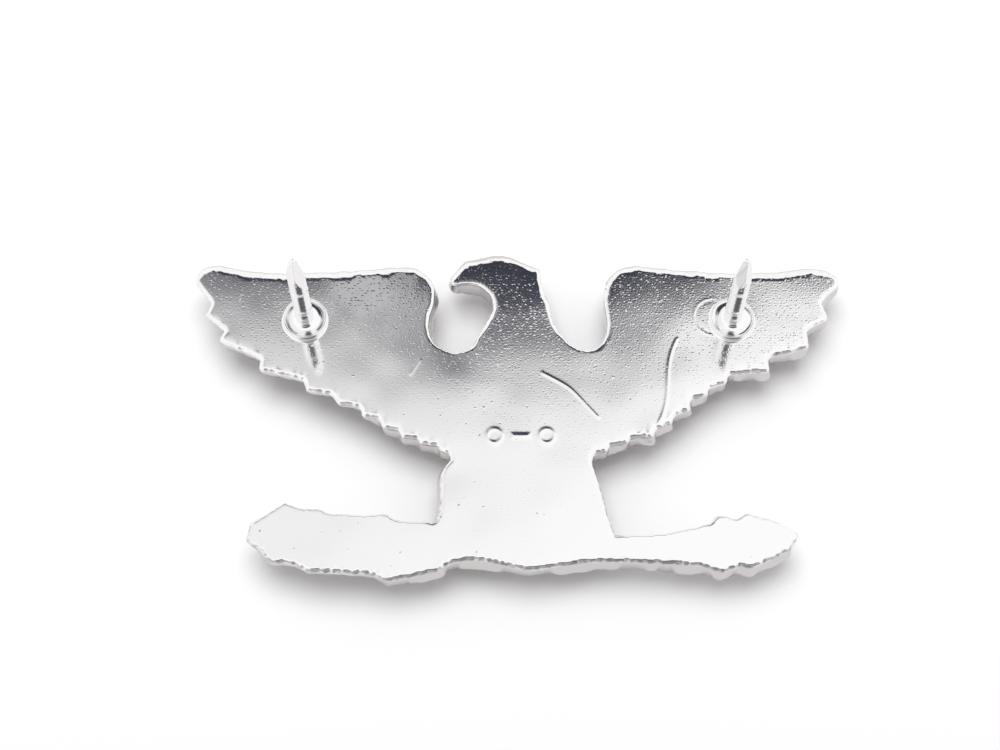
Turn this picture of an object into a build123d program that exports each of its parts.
from build123d import *
import os
from math import atan2, cos, degrees, hypot, radians, sin

# A struck spread-eagle badge with two grooved posts on its back, in millimetres.
# The origin is midway between the posts on the flat back face. +X runs from wing to wing,
# +Y towards the head, and +Z along the posts, away from the back. The relief is below the plate.

# Depths of the plate's edge and of the relief, each measured down from the back face
EDGE_DEPTH = 1.2
BACK_BEVEL = 0.12
REST_DEPTH = 2.9
BREAST_DEPTH = 2.75
NECK_DEPTH = 2.4
HEAD_DEPTH = 2.2
ARM_DEPTH = 2.6
STEM_DEPTH = 2.0
BEAK_DEPTH = 1.9
TAIL_DEPTH = 1.9
LEAF_DEPTH = 2.2
ARROW_DEPTH = 2.0
CLAW_DEPTH = 2.5
BITE = 0.3  # how far each raised form is sunk into the plate, so that they fuse

# Posts, pads and solder
POST_SPACING = 25.0
POST_RADIUS = 0.525
POST_LENGTH = 8.0
POINT_LENGTH = 2.7
POINT_TIP_HALF = 0.14
POINT_FACETS = 4
POINT_TURN = {"left": 38.0, "right": 62.0}
RING_HEIGHTS = (1.1, 2.1, 4.4)
RING_GROOVE = 0.06
RING_WIDTH = 0.18
PAD_RADIUS = 1.3
PAD_THICKNESS = 0.4
PAD_RIM = 0.16
PAD_DISH = 0.14
COLLAR_RADIUS = 0.75
COLLAR_HEIGHT = 0.12
SOLDER_WIDTH = 0.18
SOLDER_HEIGHT = 0.22

# Rim of the plate, clockwise from the left wing tip as seen from the back, in stretches
# that share their end points
LEFT_CREST = [(-19.15, 2.7), (-18.65, 3.45), (-16.5, 3.4), (-12.9, 3.15), (-9.0, 3.4), (-6.85, 3.6)]
LEFT_HOLLOW = [(-5.7, 3.2), (-4.95, 1.95), (-5.25, -0.1), (-4.85, -1.5), (-3.7, -2.1), (-2.6, -1.55)]
THROAT = [(-1.95, -0.25), (-1.5, 1.0), (-2.1, 2.1), (-3.2, 2.4), (-3.75, 2.25)]
BEAK = [(-3.95, 2.35), (-3.8, 3.1), (-3.2, 4.0)]
CROWN = [(-2.3, 4.15), (-0.9, 4.35), (0.3, 3.85), (1.25, 3.4)]
NAPE = [(1.35, 2.7), (1.75, 1.1), (2.7, -1.25), (3.8, -1.95), (4.85, -1.5)]
RIGHT_HOLLOW = [(5.2, -0.3), (5.05, 1.6), (5.7, 3.15), (7.4, 3.6)]
RIGHT_CREST = [(9.8, 3.35), (12.9, 3.15), (16.6, 3.4), (18.3, 3.3), (18.95, 2.7), (18.6, 2.0)]

# Each feather as its outer corner and the notch below it, from the wing tip in to the body
RIGHT_FEATHERS = [
    ((18.6, 2.0), (17.85, 1.15)),
    ((18.25, 0.15), (16.85, -0.6)),
    ((17.0, -1.75), (14.6, -2.35)),
    ((14.55, -3.25), (12.25, -3.4)),
    ((12.0, -3.95), (11.0, -4.3)),
    ((10.95, -4.75), (9.95, -5.0)),
    ((9.9, -5.65), (8.9, -6.0)),
    ((8.8, -6.5), (7.85, -6.85)),
    ((7.7, -7.3), (6.4, -7.4)),
    ((6.15, -7.75), (5.2, -7.85)),
    ((5.0, -8.2), (4.3, -8.35)),
]
LEFT_FEATHERS = [
    ((-18.85, 2.2), (-18.05, 1.15)),
    ((-18.45, 0.35), (-17.2, -0.65)),
    ((-17.6, -1.25), (-15.05, -2.45)),
    ((-15.15, -3.1), (-12.5, -3.8)),
    ((-12.3, -4.45), (-10.8, -4.65)),
    ((-10.4, -5.25), (-9.15, -5.5)),
    ((-9.0, -6.0), (-8.1, -6.2)),
    ((-7.8, -6.8), (-6.85, -6.95)),
    ((-6.7, -7.35), (-5.85, -7.45)),
    ((-5.6, -7.8), (-4.65, -7.9)),
    ((-4.5, -8.25), (-3.95, -8.35)),
]
CORNER_RADIUS = 0.2
NOTCH_RADIUS = 0.04
LOBE_RADIUS = 0.2

# The rest of the rim: tail, bundle of arrows and leafy branch
TAIL_RIGHT = [(4.2, -8.8), (4.5, -10.1), (4.85, -11.6), (5.35, -13.25)]
SHAFTS_TOP = [(7.0, -13.25), (9.9, -12.8), (10.7, -12.6)]
ARROW_ENDS = [
    (11.2, -12.1),
    (12.25, -12.3),
    (12.85, -11.95),
    (14.4, -12.4),
    (15.7, -13.2),
    (15.15, -14.1),
    (12.95, -15.2),
    (12.3, -15.05),
    (11.2, -15.45),
    (10.2, -15.05),
]
SHAFTS_BOTTOM = [(8.0, -14.9), (5.0, -14.75)]
TAIL_BOTTOM = [(3.6, -14.85), (2.0, -15.05), (0.3, -15.25), (-1.0, -14.95), (-4.0, -15.0)]
LEAVES_BOTTOM = [
    (-4.6, -15.35),
    (-7.3, -15.95),
    (-8.2, -15.55),
    (-11.8, -15.35),
    (-12.6, -14.95),
    (-13.95, -14.85),
    (-14.5, -14.15),
    (-15.35, -13.5),
]
LEAVES_TOP = [
    (-15.1, -12.5),
    (-13.25, -11.3),
    (-12.5, -11.65),
    (-11.3, -11.7),
    (-10.8, -11.95),
    (-8.5, -12.1),
    (-7.6, -12.0),
    (-7.0, -12.35),
    (-4.75, -12.5),
]
TAIL_LEFT = [(-4.5, -10.8), (-4.3, -9.3), (-3.85, -8.7)]

# Relief on the front. Depths are above; these are places and sizes in the plane of the plate.
TOP_SHARE = 0.5  # size of a raised form's flat top against its foot
BODY_X = 0.3
BREAST_CENTRE = (0.3, -5.6)
BREAST_SIZE = (11.0, 7.6)
NECK_CENTRE = (0.2, 0.0)
NECK_SIZE = (7.2, 3.6)
NECK_TURN = 100
HEAD_CENTRE = (-1.2, 2.95)
HEAD_SIZE = (4.4, 2.8)
HEAD_TURN = 5
BEAK_LINE = ((-2.6, 3.3), (-3.5, 2.75))
BEAK_RADII = (0.42, 0.16)

# Wings: the roots of the feathers lie along a line, and each row reaches a share of the way
# to the rim, starts at its own depth, and uses every first or second feather
ROOT_LINE = ((13.0, 2.2), (4.1, -2.6))
ARM_LINE = ((6.6, 2.2), (16.6, 2.3))
ARM_RADII = (1.1, 0.5)
FEATHER_ROWS = [(0.93, 1.6, 1), (0.6, 1.95, 1), (0.35, 2.3, 2)]
ROOT_SHARE = 0.6
WIDEST_FEATHER = 2.0
SHINGLE = 0.03

SHIELD_TOP = -3.2
SHIELD_WIDTH = 4.4
SHIELD_HEIGHT = 5.2
SHIELD_BARS = 7
BAR_GROOVE_SHARE = 0.4
BAR_GROOVE_DEPTH = 0.15
GROOVE_DROP = 0.8  # middle of the grooves below the shield's top, as a share of its height

TAIL_ROOT = -9.0
TAIL_END = -14.4
TAIL_HALF = 3.6
TAIL_FEATHERS = 7
TAIL_FEATHER_WIDTH = 1.25

GRIPS = [(-4.9, -13.7), (5.4, -13.8)]
LEG_RISE = 3.2
LEG_RADII = (0.85, 0.55)
ANKLE_RISE = 1.3
TOE_RISE = 1.0
TOE_ROOT_SPREAD = 0.25
TOE_SPREAD = 0.9
TOE_REACH = 0.55
TOE_RADII = (0.3, 0.18)

BRANCH = ((-5.0, -13.8), (-14.0, -13.3))
STEM_RADII = (0.3, 0.18)
LEAF_PAIRS = 5
LEAF_STAGGER = 0.12
LEAF_LENGTH = 2.3
LEAF_ANGLE = 32
LEAF_WIDTH = 1.15
LEAF_SHAPE = [(0, 0), (0.2, 0.8), (0.45, 1), (0.8, 0.5), (1, 0)]  # shares of length and half width

SHAFT_RADIUS = 0.34
ARROW_HEAD = 2.2
ARROW_SPREAD = 0.32
ARROWS = [
    ((4.6, -13.6), (13.6, -12.7)),
    ((4.6, -14.0), (14.9, -13.3)),
    ((4.6, -14.4), (14.0, -14.0)),
    ((4.6, -14.2), (12.2, -14.7)),
]


def flat(pairs):
    """The corners and notches of a wing's lower edge as one list."""
    return [point for pair in pairs for point in pair]


def rim_stretches():
    """Every stretch of the rim in order, each with its kind and its points."""
    return [
        ("curve", LEFT_CREST),
        ("curve", LEFT_HOLLOW),
        ("curve", THROAT),
        ("curve", BEAK),
        ("curve", CROWN),
        ("curve", NAPE),
        ("curve", RIGHT_HOLLOW),
        ("curve", RIGHT_CREST),
        ("feathers", flat(RIGHT_FEATHERS)[1:]),
        ("curve", TAIL_RIGHT),
        ("curve", SHAFTS_TOP),
        ("lobes", ARROW_ENDS),
        ("curve", SHAFTS_BOTTOM),
        ("curve", TAIL_BOTTOM),
        ("lobes", LEAVES_BOTTOM),
        ("lobes", LEAVES_TOP),
        ("curve", TAIL_LEFT),
        ("feathers", flat(LEFT_FEATHERS)[::-1]),
    ]


def rim_face():
    """The plate's outline as one flat face on the back plane."""
    radii = {"feathers": (NOTCH_RADIUS, CORNER_RADIUS), "lobes": (LOBE_RADIUS, LOBE_RADIUS)}
    start = LEFT_FEATHERS[0][0]
    edges = []
    for kind, points in rim_stretches():
        if kind == "curve":
            edges += Spline(start, *points).edges()
        else:
            rounds = [radii[kind][i % 2] for i in range(len(points) - 1)]
            edges += FilletPolyline(start, *points, radius=rounds).edges()
        start = points[-1]
    return make_face(edges)


def distance(a, b):
    """How far apart two points are."""
    return hypot(b[0] - a[0], b[1] - a[1])


def between(a, b, share):
    """The point a share of the way from a to b."""
    return (a[0] + (b[0] - a[0]) * share, a[1] + (b[1] - a[1]) * share)


def raise_form(face_at, depth):
    """A form that stands out of the plate's front: face_at(1) is its foot, and its flat top is smaller."""
    foot = Pos(0, 0, BITE - EDGE_DEPTH) * face_at(1.0)
    top = Pos(0, 0, -depth) * face_at(TOP_SHARE)
    return loft([foot, top], ruled=True)


def blade_face(length, half):
    """A feather's outline: narrow at its root, widest near its tip, with a round end."""
    shoulder = length - half
    edges = [
        Line((0, half * ROOT_SHARE), (shoulder, half)),
        ThreePointArc((shoulder, half), (length, 0), (shoulder, -half)),
        Line((shoulder, -half), (0, -half * ROOT_SHARE)),
        Line((0, -half * ROOT_SHARE), (0, half * ROOT_SHARE)),
    ]
    return make_face(edges)


def limb_face(length, start_radius, end_radius):
    """A tapering bar's outline with two round ends."""
    edges = [
        ThreePointArc((0, -start_radius), (-start_radius, 0), (0, start_radius)),
        Line((0, start_radius), (length, end_radius)),
        ThreePointArc((length, end_radius), (length + end_radius, 0), (length, -end_radius)),
        Line((length, -end_radius), (0, -start_radius)),
    ]
    return make_face(edges)


def leaf_face(length, half):
    """A leaf's outline: a point at each end and its widest place before the middle."""
    upper = [(length * x, half * y) for x, y in LEAF_SHAPE]
    lower = [(x, -y) for x, y in upper[-2:0:-1]]
    return make_face(Polyline(*upper, *lower, close=True).edges())


def kite_face(length, head):
    """An arrow head's outline, a kite centred a head's half length back from the arrow's tip."""
    barb = head * ARROW_SPREAD
    start = length - (ARROW_HEAD + head) / 2
    corners = [(start, 0), (start + barb, barb), (start + head, 0), (start + barb, -barb)]
    return make_face(Polyline(*corners, close=True).edges())


def along(root, tip, form):
    """A form made along +X from the origin, turned and moved to run from root to tip."""
    turn = degrees(atan2(tip[1] - root[1], tip[0] - root[0]))
    return Pos(root[0], root[1], 0) * Rot(0, 0, turn) * form


def blade(root, tip, width, depth):
    """A feather from its root to its tip."""
    length = distance(root, tip)
    return along(root, tip, raise_form(lambda share: blade_face(length, width / 2 * share), depth))


def limb(start, end, start_radius, end_radius, depth):
    """A tapering round-ended bar, such as the arm of a wing, a leg or a toe."""
    length = distance(start, end)
    form = raise_form(lambda share: limb_face(length, start_radius * share, end_radius * share), depth)
    return along(start, end, form)


def leaf(root, tip, width, depth):
    """A leaf from its stalk to its point."""
    length = distance(root, tip)
    return along(root, tip, raise_form(lambda share: leaf_face(length, width / 2 * share), depth))


def arrow(tail, tip, depth):
    """An arrow of the bundle: a round shaft, half sunk, and a four-cornered head."""
    length = distance(tail, tip)
    shaft_length = length - ARROW_HEAD / 2
    shaft = Pos(shaft_length / 2, 0, SHAFT_RADIUS - depth) * Rot(0, 90, 0) * Cylinder(SHAFT_RADIUS, shaft_length)
    head = raise_form(lambda share: kite_face(length, ARROW_HEAD * share), depth)
    return [along(tail, tip, shaft), along(tail, tip, head)]


def spindle(centre, length, width, depth, turn):
    """A long smooth swelling: part of a solid of revolution about an axis behind the plate."""
    base = EDGE_DEPTH - BITE
    height = depth - base
    middle_radius = ((width / 2) ** 2 + height**2) / (2 * height)
    end_radius = middle_radius - height
    profile = [
        ThreePointArc((-length / 2, end_radius), (0, middle_radius), (length / 2, end_radius)),
        Line((length / 2, end_radius), (length / 2, 0)),
        Line((length / 2, 0), (-length / 2, 0)),
        Line((-length / 2, 0), (-length / 2, end_radius)),
    ]
    swelling = revolve(make_face(profile), axis=Axis.X)
    keep = Pos(0, 0, -end_radius - height) * Box(length, width, 2 * height)
    form = Pos(0, 0, end_radius - base) * (swelling & keep)
    return Pos(centre[0], centre[1], 0) * Rot(0, 0, turn) * form


def across(point, side):
    """A point given for the right wing, moved to the same place on the chosen side."""
    return (point[0] * side, point[1])


def wing_relief(feathers, side):
    """The arm of a wing, and rows of feathers that fan out from it, each row deeper."""
    tips = [corner for corner, notch in feathers]
    gaps = [distance(a, b) for a, b in zip(tips, tips[1:])]
    gaps.append(gaps[-1])
    outer, inner = [across(point, side) for point in ROOT_LINE]
    shoulder, wrist = [across(point, side) for point in ARM_LINE]
    forms = [limb(shoulder, wrist, *ARM_RADII, ARM_DEPTH)]
    for reach, start_depth, take in FEATHER_ROWS:
        for i in range(0, len(tips), take):
            root = between(outer, inner, i / (len(tips) - 1))
            end = between(root, tips[i], reach)
            width = min(gaps[i], WIDEST_FEATHER) * take * (1 + reach) / 2
            forms.append(blade(root, end, width, start_depth + SHINGLE * i))
    return forms


def shield_relief():
    """A plain shield on the breast with upright bars across its lower part."""
    half = SHIELD_WIDTH / 2
    top = SHIELD_TOP
    waist = top - SHIELD_HEIGHT / 2
    point = (0, top - SHIELD_HEIGHT)
    right_side = [Line((0, top), (half, top)), Line((half, top), (half, waist))]
    right_side.append(TangentArc((half, waist), point, tangent=(0, -1)))
    left_side = [edge.mirror(Plane.YZ) for edge in right_side]
    face = Pos(BODY_X, 0, BITE - EDGE_DEPTH) * make_face(right_side + left_side)
    shield = extrude(face, amount=REST_DEPTH - EDGE_DEPTH + BITE, dir=(0, 0, -1))
    pitch = SHIELD_WIDTH / SHIELD_BARS
    grooves = []
    for i in range(1, SHIELD_BARS):
        x = BODY_X - half + pitch * i
        groove = Box(pitch * BAR_GROOVE_SHARE, SHIELD_HEIGHT, 2 * BAR_GROOVE_DEPTH)
        grooves.append(Pos(x, top - SHIELD_HEIGHT * GROOVE_DROP, -REST_DEPTH) * groove)
    return shield - grooves


def tail_relief():
    """A fan of tail feathers below the body."""
    root = (BODY_X, TAIL_ROOT)
    forms = []
    for i in range(TAIL_FEATHERS):
        share = i / (TAIL_FEATHERS - 1) * 2 - 1
        tip = (BODY_X + share * TAIL_HALF, TAIL_END)
        depth = TAIL_DEPTH + SHINGLE * (1 - abs(share)) * TAIL_FEATHERS
        forms.append(blade(root, tip, TAIL_FEATHER_WIDTH, depth))
    return forms


def claw_relief(grip):
    """A leg and three toes that close over a bar."""
    x, y = grip
    hip = ((x + BODY_X) / 2, y + LEG_RISE)
    forms = [limb(hip, (x, y + ANKLE_RISE), *LEG_RADII, CLAW_DEPTH)]
    for spread in (-1, 0, 1):
        toe_root = (x + spread * TOE_ROOT_SPREAD, y + TOE_RISE)
        toe_tip = (x + spread * TOE_SPREAD, y - TOE_REACH)
        forms.append(limb(toe_root, toe_tip, *TOE_RADII, CLAW_DEPTH))
    return forms


def branch_relief():
    """A stem along the left bar with leaves on both sides."""
    stem_start, stem_end = BRANCH
    forms = [limb(stem_start, stem_end, *STEM_RADII, STEM_DEPTH)]
    for i in range(LEAF_PAIRS):
        for side in (-1, 1):
            root = between(stem_start, stem_end, (i + 0.5 + side * LEAF_STAGGER) / LEAF_PAIRS)
            rise = side * LEAF_LENGTH * sin(radians(LEAF_ANGLE))
            tip = (root[0] - LEAF_LENGTH * cos(radians(LEAF_ANGLE)), root[1] + rise)
            forms.append(leaf(root, tip, LEAF_WIDTH, LEAF_DEPTH + side * SHINGLE))
    return forms


def head_relief():
    """The head with its brow and beak, and the neck down to the breast."""
    return [
        spindle(NECK_CENTRE, *NECK_SIZE, NECK_DEPTH, NECK_TURN),
        spindle(HEAD_CENTRE, *HEAD_SIZE, HEAD_DEPTH, HEAD_TURN),
        limb(*BEAK_LINE, *BEAK_RADII, BEAK_DEPTH),
    ]


def eagle_body():
    """The struck plate with all of its relief, as one solid."""
    plate = extrude(rim_face(), amount=EDGE_DEPTH, dir=(0, 0, -1))
    back_edges = [edge for edge in plate.edges() if edge.bounding_box().min.Z > -BACK_BEVEL]
    plate = chamfer(back_edges, BACK_BEVEL)
    forms = wing_relief(RIGHT_FEATHERS, 1) + wing_relief(LEFT_FEATHERS, -1)
    forms += tail_relief() + branch_relief() + head_relief()
    forms.append(spindle(BREAST_CENTRE, *BREAST_SIZE, BREAST_DEPTH, 90))
    forms.append(shield_relief())
    for grip in GRIPS:
        forms += claw_relief(grip)
    for tail, tip in ARROWS:
        forms += arrow(tail, tip, ARROW_DEPTH)
    return plate + forms


def post(turn):
    """A post with ring grooves and a four-sided point, its axis along Z from the back face."""
    shaft = Pos(0, 0, POST_LENGTH / 2) * Cylinder(POST_RADIUS, POST_LENGTH)
    for height in RING_HEIGHTS:
        profile = Polyline(
            (POST_RADIUS - RING_GROOVE, 0, height),
            (POST_RADIUS + RING_GROOVE, 0, height + RING_WIDTH),
            (POST_RADIUS + RING_GROOVE, 0, height - RING_WIDTH),
            close=True,
        )
        shaft -= revolve(make_face(profile.edges()), axis=Axis.Z)
    lean = degrees(atan2(POST_RADIUS - POINT_TIP_HALF, POINT_LENGTH))
    block = Box(2 * POST_RADIUS, 4 * POST_RADIUS, 3 * POINT_LENGTH, align=(Align.MIN, Align.CENTER, Align.CENTER))
    for i in range(POINT_FACETS):
        facet_turn = turn + i * 360 / POINT_FACETS
        shaft -= Rot(0, 0, facet_turn) * Pos(POINT_TIP_HALF, 0, POST_LENGTH) * Rot(0, -lean, 0) * block
    return shaft


def pad():
    """A stamped round pad with a raised rim, a shallow dish and a collar round the post."""
    half_rim = PAD_RIM / 2
    floor = PAD_THICKNESS - PAD_DISH
    profile = [
        (POST_RADIUS, 0, 0),
        (PAD_RADIUS, 0, 0),
        (PAD_RADIUS, 0, PAD_THICKNESS - half_rim),
        (PAD_RADIUS - half_rim, 0, PAD_THICKNESS),
        (PAD_RADIUS - PAD_RIM, 0, PAD_THICKNESS),
        (PAD_RADIUS - 2 * PAD_RIM, 0, floor),
        (COLLAR_RADIUS + half_rim, 0, floor),
        (COLLAR_RADIUS, 0, floor + COLLAR_HEIGHT),
        (POST_RADIUS, 0, floor + COLLAR_HEIGHT),
    ]
    return revolve(make_face(Polyline(*profile, close=True).edges()), axis=Axis.Z)


def solder():
    """A ring of solder with a hollow slope, between the pad's edge and the body."""
    foot = (PAD_RADIUS + SOLDER_WIDTH, 0, 0)
    crest = (PAD_RADIUS, 0, SOLDER_HEIGHT)
    hollow = (PAD_RADIUS + SOLDER_WIDTH * 0.35, 0, SOLDER_HEIGHT * 0.35)
    corner = (PAD_RADIUS, 0, 0)
    edges = [Line(corner, foot), ThreePointArc(foot, hollow, crest), Line(crest, corner)]
    return revolve(make_face(edges), axis=Axis.Z)


nodes = {"eagle_body": eagle_body()}
for side, x in (("left", -POST_SPACING / 2), ("right", POST_SPACING / 2)):
    nodes[side + "_pin"] = Pos(x, 0, 0) * post(POINT_TURN[side])
    nodes[side + "_pad"] = Pos(x, 0, 0) * pad()
    nodes[side + "_solder"] = Pos(x, 0, 0) * solder()

os.makedirs("parts", exist_ok=True)
for name, shape in nodes.items():
    shape.label = name
    export_step(shape, f"parts/{name}.step")
    print(name, round(shape.volume, 3), "mm3")
